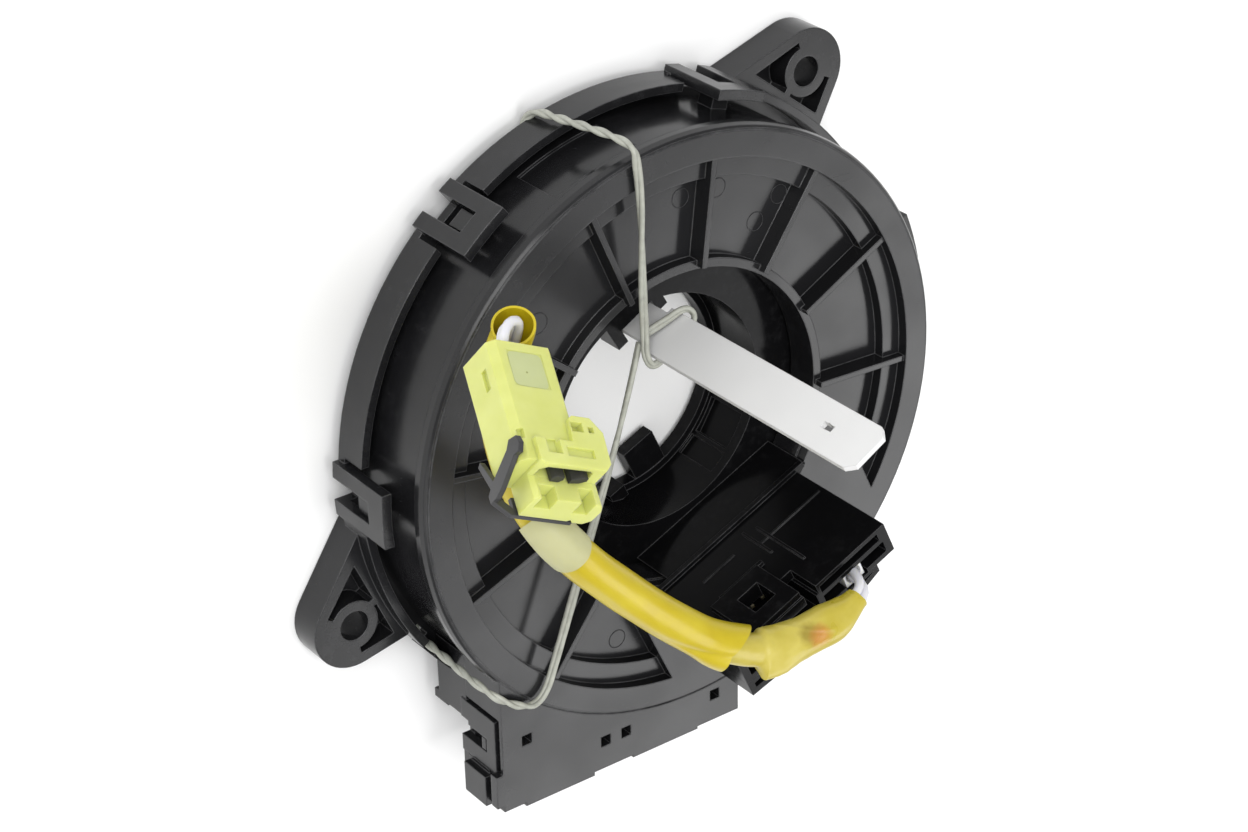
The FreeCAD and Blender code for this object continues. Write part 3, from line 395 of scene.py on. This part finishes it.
M = {}
M["case"] = moulded("black_case_plastic", (0.0085, 0.0085, 0.0092), (0.0122, 0.0123, 0.0135), 0.16, 0.27, 0.05, 0.10, 0.36, 0.35, 0.00032, 0.0, 0.8)
M["rotor"] = moulded("black_rotor_plastic", (0.0036, 0.0036, 0.0039), (0.0052, 0.0052, 0.0058), 0.13, 0.22, 0.05, 0.10, 0.075, 0.35, 0.00028, 0.0, 0.7)
M["terminal"] = moulded("tin_terminal", (0.55, 0.48, 0.30), (0.70, 0.62, 0.42), 0.25, 0.4)
M["terminal"].node_tree.nodes["Principled BSDF"].inputs["Metallic"].default_value = 1.0
M["film"] = moulded("slip_film", (0.55, 0.55, 0.57), (0.66, 0.66, 0.68), 0.3, 0.42)
M["steel"] = moulded("slide_steel", (0.45, 0.45, 0.46), (0.6, 0.6, 0.6), 0.22, 0.35)
M["steel"].node_tree.nodes["Principled BSDF"].inputs["Metallic"].default_value = 1.0
M["ribbon"] = moulded("ribbon_polyester", (0.55, 0.36, 0.12), (0.70, 0.5, 0.2), 0.2, 0.35)
M["white"] = moulded("white_nylon", (0.62, 0.62, 0.60), (0.75, 0.75, 0.74), 0.35, 0.5, 0.05)
M["strip"] = moulded("strip_plastic", (0.66, 0.66, 0.66), (0.72, 0.72, 0.722), 0.38, 0.52, 0.05)
M["dark"] = moulded("dark_terminal", (0.015, 0.015, 0.016), (0.05, 0.05, 0.052), 0.3, 0.5)


def nylon(name, lo, hi, sss=0.35, depth=0.0022, rough=(0.34, 0.46), edge=0.0, radius=(1.0, 0.9, 0.35), scale=160.0):
    mt, nt, b = new_mat(name)
    co = nt.nodes.new("ShaderNodeTexCoord").outputs["Object"]
    cloud = tex(nt, "ShaderNodeTexNoise", co, Scale=scale, Detail=3.0, Roughness=0.5)
    col = ramp(nt, cloud.outputs["Fac"], [(0.28, lo), (0.7, hi)])
    nt.links.new(col.outputs[0], b.inputs["Base Color"])
    fine = tex(nt, "ShaderNodeTexNoise", co, Scale=1900.0, Detail=3.0, Roughness=0.6)
    rr = ramp(nt, cloud.outputs["Fac"], [(0.3, grey(rough[0])), (0.7, grey(rough[1]))])
    nt.links.new(rr.outputs[0], b.inputs["Roughness"])
    b.inputs["Subsurface Weight"].default_value = sss
    b.inputs["Subsurface Radius"].default_value = radius
    b.inputs["Subsurface Scale"].default_value = depth
    bp = nt.nodes.new("ShaderNodeBump")
    bp.name = "grain"
    bp.inputs["Strength"].default_value = 0.05
    bp.inputs["Distance"].default_value = 0.0001
    nt.links.new(fine.outputs["Fac"], bp.inputs["Height"])
    if edge:
        nt.links.new(rounded_edges(nt, edge), bp.inputs["Normal"])
    nt.links.new(bp.outputs[0], b.inputs["Normal"])
    return mt


def stain_and_shade_spot(mt, spot, r0, r1, colour, amount=0.8):
    """Tints a material round one place (m, in the part's frame): real stains on the tape, and painted shade round the
    slot of the lock strip.
    """
    nt = mt.node_tree
    b = nt.nodes["Principled BSDF"]
    src = b.inputs["Base Color"].links[0].from_socket
    geo = nt.nodes.new("ShaderNodeTexCoord")
    dist = nt.nodes.new("ShaderNodeVectorMath")
    dist.operation = "DISTANCE"
    nt.links.new(geo.outputs["Object"], dist.inputs[0])
    dist.inputs[1].default_value = spot
    wob = tex(nt, "ShaderNodeTexNoise", geo.outputs["Object"], Scale=420.0, Detail=3.0, Roughness=0.6)
    ma = nt.nodes.new("ShaderNodeMath")
    ma.operation = "MULTIPLY_ADD"
    nt.links.new(wob.outputs["Fac"], ma.inputs[0])
    ma.inputs[1].default_value = 0.0024
    nt.links.new(dist.outputs["Value"], ma.inputs[2])
    mr = nt.nodes.new("ShaderNodeMapRange")
    nt.links.new(ma.outputs[0], mr.inputs["Value"])
    mr.inputs["From Min"].default_value = r0 + 0.0012
    mr.inputs["From Max"].default_value = r1 + 0.0012
    mr.inputs["To Min"].default_value = amount
    mr.inputs["To Max"].default_value = 0.0
    mx = nt.nodes.new("ShaderNodeMix")
    mx.data_type = "RGBA"
    nt.links.new(mr.outputs[0], mx.inputs[0])
    nt.links.new(src, mx.inputs[6])
    mx.inputs[7].default_value = (*colour, 1.0)
    nt.links.new(mx.outputs[2], b.inputs["Base Color"])


def banded(mt, stops):
    """Colour that also changes along the lead, by the V coordinate of the piece."""
    nt = mt.node_tree
    b = nt.nodes["Principled BSDF"]
    src = b.inputs["Base Color"].links[0].from_socket
    uvn = nt.nodes.new("ShaderNodeUVMap")
    uvn.uv_map = "UVMap"
    sep = nt.nodes.new("ShaderNodeSeparateXYZ")
    nt.links.new(uvn.outputs[0], sep.inputs[0])
    r = ramp(nt, sep.outputs[1], stops)
    mx = nt.nodes.new("ShaderNodeMix")
    mx.data_type = "RGBA"
    mx.blend_type = "MULTIPLY"
    mx.inputs[0].default_value = 1.0
    nt.links.new(src, mx.inputs[6])
    nt.links.new(r.outputs[0], mx.inputs[7])
    nt.links.new(mx.outputs[2], b.inputs["Base Color"])


M["plug"] = nylon("plug_nylon", (0.55, 0.58, 0.16), (0.61, 0.64, 0.21), 0.50, 0.0020, (0.36, 0.46), 0.00025)
M["panel"] = nylon("plug_matt_panel", (0.49, 0.53, 0.23), (0.53, 0.57, 0.26), 0.3, 0.0012, (0.5, 0.6))
M["dotmark"] = nylon("plug_dot", (0.28, 0.31, 0.08), (0.30, 0.33, 0.10), 0.1, 0.0005, (0.5, 0.6))
M["sleeve"] = nylon("yellow_sleeve_vinyl", (0.47, 0.36, 0.002), (0.53, 0.425, 0.012), 0.20, 0.0010, (0.30, 0.42))
M["tape"] = nylon("pale_yellow_tape", (0.42, 0.34, 0.025), (0.52, 0.44, 0.085), 0.25, 0.0012, (0.24, 0.42))
M["anchor"] = nylon("masking_tape", (0.41, 0.40, 0.20), (0.47, 0.46, 0.245), 0.2, 0.001, (0.5, 0.6))
M["wire"] = nylon("white_wire_vinyl", (0.62, 0.62, 0.66), (0.70, 0.70, 0.74), 0.15, 0.001, (0.3, 0.4))
M["tie"] = nylon("tie_twine_fibre", (0.30, 0.305, 0.265), (0.40, 0.41, 0.36), 0.1, 0.0006, (0.42, 0.55), 0.0, (1.0, 0.9, 0.7), 700.0)
M["wireplug"] = nylon("wire_plug_nylon", (0.60, 0.60, 0.60), (0.70, 0.70, 0.69), 0.2, 0.001, (0.35, 0.45), 0.0002)


def wear(o, mt):
    o.data.materials.clear()
    o.data.materials.append(mt)


wear(wires, M["wire"])
wear(tie, M["tie"])

NODE_MAT = {
    "front_case": "case", "rear_cover": "case", "socket_cover": "case", "harness_terminals_left": "terminal",
    "harness_terminals_right": "terminal", "front_slip_sheet": "film", "rear_slip_sheet": "film",
    "slide_ring": "steel", "flat_cable": "ribbon", "outer_cable_clamp": "white", "inner_cable_clamp": "white",
    "rotor": "rotor", "retaining_ring": "rotor", "tower_shroud": "rotor", "tower_terminals": "terminal",
    "lock_strip": "strip", "airbag_connector": "plug", "connector_lock": "dark", "airbag_terminals": "dark",
    "wire_plug": "wireplug"}
for n, k in NODE_MAT.items():
    wear(NODES[n], M[k])


# -------------------------------------------------------- things on the lead
def tube_on(name, s0, s1, outer, inner, step=0.0008, sides=40, shape=None, skew=None):
    """Hollow jacket round the lead between two places along it (m)."""
    st = stations(lead_line, s0, s1, step)
    n = len(st)
    bm = bmesh.new()
    uv = bm.loops.layers.uv.new("UVMap")
    loops = []
    for skin, rad in (("out", outer), ("in", inner)):
        for i, q in enumerate(st):
            d, p, t, a, b = q
            ring = []
            base = math.atan2(b.dot(FRONT), a.dot(FRONT))
            for k in range(sides):
                th = 2 * math.pi * k / sides
                r = rad if shape is None else shape(skin, rad, (d - s0) / (s1 - s0), th, d)
                q1 = p + (a * math.cos(th + base) + b * math.sin(th + base)) * r
                if skew:
                    f = (d - s0) / (s1 - s0)
                    if f < skew[1]:
                        q1 = q1 - t * (skew[0] * (1.0 - f / skew[1]) * math.cos(th - skew[2]))
                ring.append(bm.verts.new(q1))
            loops.append(ring)
    outer_r, inner_r = loops[:n], loops[n:]
    def quad(a, b, c, d, vals):
        f = bm.faces.new((a, b, c, d))
        for lp, w in zip(f.loops, vals):
            lp[uv].uv = w
    for k in range(sides):
        k2 = (k + 1) % sides
        for i in range(n - 1):
            vs = ((k / sides, st[i][0] * 50), ((k + 1) / sides, st[i][0] * 50), ((k + 1) / sides, st[i + 1][0] * 50), (k / sides, st[i + 1][0] * 50))
            quad(outer_r[i][k], outer_r[i][k2], outer_r[i + 1][k2], outer_r[i + 1][k], vs)
            quad(inner_r[i][k2], inner_r[i][k], inner_r[i + 1][k], inner_r[i + 1][k2], vs)
        quad(outer_r[0][k2], outer_r[0][k], inner_r[0][k], inner_r[0][k2], ((0, 0), (0, 0), (0, 0), (0, 0)))
        quad(outer_r[-1][k], outer_r[-1][k2], inner_r[-1][k2], inner_r[-1][k], ((0, 0), (0, 0), (0, 0), (0, 0)))
    me = bpy.data.meshes.new(name)
    bmesh.ops.recalc_face_normals(bm, faces=bm.faces)
    bm.to_mesh(me)
    bm.free()
    o = link(name, me)
    return smooth(o, 50)


def near_along(pts, target):
    s = lengths(pts)
    t = Vector(target) * MM
    return min((p - t).length * 1.0 + 0.0 * q for p, q in zip(pts, s)), min(zip(((p - t).length for p in pts), s))[1]


FLARE = near_along(lead_line, (-13.3, -23.2, 51.3))[1]
TAPE0 = near_along(lead_line, (12.4, -23.3, 51.6))[1]
SLEEVE_END = near_along(lead_line, (-42.2, 35.2, 31.9))[1]
ANCHOR = near_along(lead_line, (-48.2, 11.4, 52.6))[1]


def step(x, a, b):
    t = min(1.0, max(0.0, (x - a) / (b - a)))
    return t * t * (3 - 2 * t)


def bump_at(th, where, wide):
    return math.exp(-((((th - where + math.pi) % (2 * math.pi)) - math.pi) / wide) ** 2)


def sleeve_shape(skin, rad, f, th, d):
    """Swells toward the wheel-side mouth, with long soft creases and a lip at each end."""
    r = rad * (1.0 + 0.05 * (1.0 - step(f, 0.05, 0.45)) + 0.15 * (1.0 - step(f, 0.0, 0.11)))
    r *= 1.0 + 0.05 * step(f, 0.96, 1.0)
    r *= 1.0 + (0.03 + 0.05 * (1.0 - step(f, 0.0, 0.2))) * math.cos(2 * (th - 1.57))
    r += 0.00009 * noise.noise(Vector((math.cos(th) * 1.6, math.sin(th) * 1.6, d * 130.0)))
    r -= 0.00042 * bump_at(th, 5.9 - 3.2 * f, 0.24) * (1.0 - step(f, 0.10, 0.26))
    r -= 0.00022 * bump_at(th, 4.6 + 2.0 * f, 0.30) * step(f, 0.05, 0.12) * (1.0 - step(f, 0.4, 0.6))
    return r


sleeve = tube_on("lead_sleeve_tube", FLARE, SLEEVE_END, 0.00318, 0.00282, step=0.0007, sides=56, shape=sleeve_shape,
                 skew=(0.0034, 0.10, 2.5))
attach(sleeve, "rotor")
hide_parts("lead_sleeve")
wear(sleeve, M["sleeve"])


def tape_shape(skin, rad, f, th, d):
    """Crumpled film: a narrow gathered start, the wound part with one torn corner, then thin."""
    c = noise.noise(Vector((math.cos(th) * 1.1 + 5, math.sin(th) * 1.1, d * 190.0)))
    c += 0.5 * abs(noise.noise(Vector((math.cos(th) * 2.3 + 9, math.sin(th) * 2.3, d * 380.0 + th))))
    wound = 1.0 - step(f, 0.705, 0.725 + 0.015 * math.sin(th + 0.7))
    r = rad * (0.84 + 0.16 * wound) * (0.56 + 0.44 * step(f, -0.02, 0.26))
    r *= 1.0 + (0.08 + 0.07 * wound) * math.cos(2 * (th - 1.57))
    if skin == "out":
        r += 0.00026 * c * (0.4 + 0.6 * wound)
        where = step(f, 0.44, 0.69) * (1.0 - step(f, 0.708, 0.722))
        r += 0.0015 * bump_at(th, TAPE_FREE, 0.34) * where * (1.0 + 0.16 * noise.noise(Vector((d * 900.0, 2.0, 1.0))))
        lap = bump_at(th, 0.6 + 5.0 * (f - 0.45), 0.10) * (1.0 - step(f, 0.66, 0.70)) * step(f, 0.2, 0.3)
        r += 0.00016 * lap
    else:
        r = min(r * 0.55, 0.0017)
    return r


TAPE_FREE = 4.9
tape = tube_on("tape_wrap_film", TAPE0, FLARE + 0.0030, 0.0030, 0.0017, step=0.0004, sides=64, shape=tape_shape)
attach(tape, "rotor")
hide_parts("tape_wrap")
wear(tape, M["tape"])


def anchor_shape(skin, rad, f, th, d):
    if skin == "in":
        return rad
    r = rad + 0.00007 * noise.noise(Vector((math.cos(th) * 2, math.sin(th) * 2, d * 300.0)))
    lap = ((th - 2.4 - 0.5 * f) % (2 * math.pi)) / (2 * math.pi)
    return r + 0.00016 * (1.0 - lap)


anchor = tube_on("anchor_tape_band", ANCHOR - 0.0046, ANCHOR + 0.0034, 0.00350, 0.0034, step=0.0005, sides=72,
                 shape=anchor_shape, skew=(0.0004, 0.2, 0.4))
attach(anchor, "rotor")
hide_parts("anchor_tape")
wear(anchor, M["anchor"])

# Painted shade: a near-black tint round the slot in the lock strip, standing in for the shadow in the hole.
stain_and_shade_spot(M["strip"], (-0.0041, 0.0186, 0.0623), 0.0003, 0.0008, (0.03, 0.03, 0.03), 0.9)
stain_and_shade_spot(M["tape"], (0.0002, -0.0243, 0.0537), 0.0010, 0.0026, (0.26, 0.19, 0.02), 0.75)
stain_and_shade_spot(M["tape"], (0.0021, -0.0256, 0.0542), 0.0006, 0.0024, (0.50, 0.15, 0.03), 0.6)


def ring_marks(name, places, z, rad, thick):
    """Shallow raised rings left by the ejector pins."""
    bm = bmesh.new()
    for x, y, k in places:
        mt = Matrix.Translation((x * MM, y * MM, z * MM))
        n, m = 40, 6
        vs = [[bm.verts.new(mt @ Vector(((rad * k + thick * math.cos(b)) * math.cos(a), (rad * k + thick * math.cos(b)) * math.sin(a),
                                         thick * 0.7 * math.sin(b))))
               for b in (2 * math.pi * j / m for j in range(m))] for a in (2 * math.pi * i / n for i in range(n))]
        for i in range(n):
            for j in range(m):
                bm.faces.new((vs[i][j], vs[(i + 1) % n][j], vs[(i + 1) % n][(j + 1) % m], vs[i][(j + 1) % m]))
    me = bpy.data.meshes.new(name)
    bmesh.ops.recalc_face_normals(bm, faces=bm.faces)
    bm.to_mesh(me)
    bm.free()
    o = link(name, me)
    for p in me.polygons:
        p.use_smooth = True
    return o


pins = ring_marks("ejector_marks", [(1.2, 40.0, 1.0), (8.7, 39.7, 1.0), (21.5, 35.0, 1.0), (16.5, 26.9 + 4.6, 1.0), (-27.1, 26.5, 1.1),
                                    (-22.3, -33.3, 1.0), (-13.2, -37.5, 1.0)], 19.22, 0.00165, 0.00009)
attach(pins, "stator")
wear(pins, M["case"])

# Matt panel let into the top of the plug, with a small moulding dot.
e1 = Vector((-0.307, -0.479, 0.822)).normalized()
e2 = Vector((0.908, -0.4027, 0.1047))
e2 = (e2 - e1 * e2.dot(e1)).normalized()
e3 = e1.cross(e2)
plug_at = Vector((-45.15, 33.73, 37.7))


def in_plug(x, y, z):
    return (plug_at + e2 * x + e3 * y + e1 * z) * MM


def slab(name, outline, y0, y1):
    bm = bmesh.new()
    lo = [bm.verts.new(in_plug(x, y0, z)) for x, z in outline]
    hi = [bm.verts.new(in_plug(x, y1, z)) for x, z in outline]
    bm.faces.new(lo)
    bm.faces.new(list(reversed(hi)))
    for i in range(len(lo)):
        j = (i + 1) % len(lo)
        bm.faces.new((lo[i], hi[i], hi[j], lo[j]))
    me = bpy.data.meshes.new(name)
    bmesh.ops.recalc_face_normals(bm, faces=bm.faces)
    bm.to_mesh(me)
    bm.free()
    return link(name, me)


def soft_corners(x0, x1, z0, z1, r, n=6):
    out = []
    for cx, cz, a0 in ((x1 - r, z1 - r, 0), (x0 + r, z1 - r, 90), (x0 + r, z0 + r, 180), (x1 - r, z0 + r, 270)):
        for i in range(n + 1):
            a = math.radians(a0 + 90.0 * i / n)
            out.append((cx + r * math.cos(a), cz + r * math.sin(a)))
    return out


panel = slab("plug_top_panel", soft_corners(-3.15, 2.85, 1.65, 7.75, 0.9), 3.5, 3.60)
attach(panel, "rotor")
wear(panel, M["panel"])
dot = slab("plug_moulding_dot", [(-0.5 + 0.16 * math.cos(a), 5.2 + 0.16 * math.sin(a)) for a in (math.pi * i / 8 for i in range(16))], 3.58, 3.64)
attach(dot, "rotor")
wear(dot, M["dotmark"])

# ------------------------------------------------------------- floor and light
floor_me = bpy.data.meshes.new("floor")
floor_me.from_pydata([(-6, -6, 0), (6, -6, 0), (6, 6, 0), (-6, 6, 0)], [], [(0, 1, 2, 3)])
floor = link("floor", floor_me)
floor.location.z = -0.0002
fm, fnt, fb = new_mat("pale_floor")
fb.inputs["Base Color"].default_value = (0.93, 0.93, 0.93, 1.0)
fb.inputs["Roughness"].default_value = 0.9
wear(floor, fm)

world = bpy.data.worlds.new("studio")
SC.world = world
world.use_nodes = True
bg = world.node_tree.nodes.get("Background")
bg.inputs[0].default_value = (1.0, 1.0, 1.0, 1.0)
bg.inputs[1].default_value = 0.5


def softbox(name, loc, size, power, target=(0, 0, 0.02)):
    ld = bpy.data.lights.new(name, "AREA")
    ld.shape = "RECTANGLE"
    ld.size, ld.size_y = size
    ld.energy = power
    o = bpy.data.objects.new(name, ld)
    SC.collection.objects.link(o)
    o.location = loc
    o.rotation_euler = (Vector(target) - Vector(loc)).to_track_quat("-Z", "Y").to_euler()
    return o


softbox("overhead", (0.0, 0.05, 1.3), (0.7, 0.7), 7.0)
softbox("key", (-0.85, 0.95, 1.2), (1.1, 1.1), 18.0)
softbox("face_sheen", (1.03, -1.04, 1.1), (0.9, 0.7), 6.8)
softbox("fill", (-1.0, -0.5, 0.8), (0.7, 0.7), 2.5)
SC.view_settings.view_transform = "Standard"
SC.view_settings.look = "None"
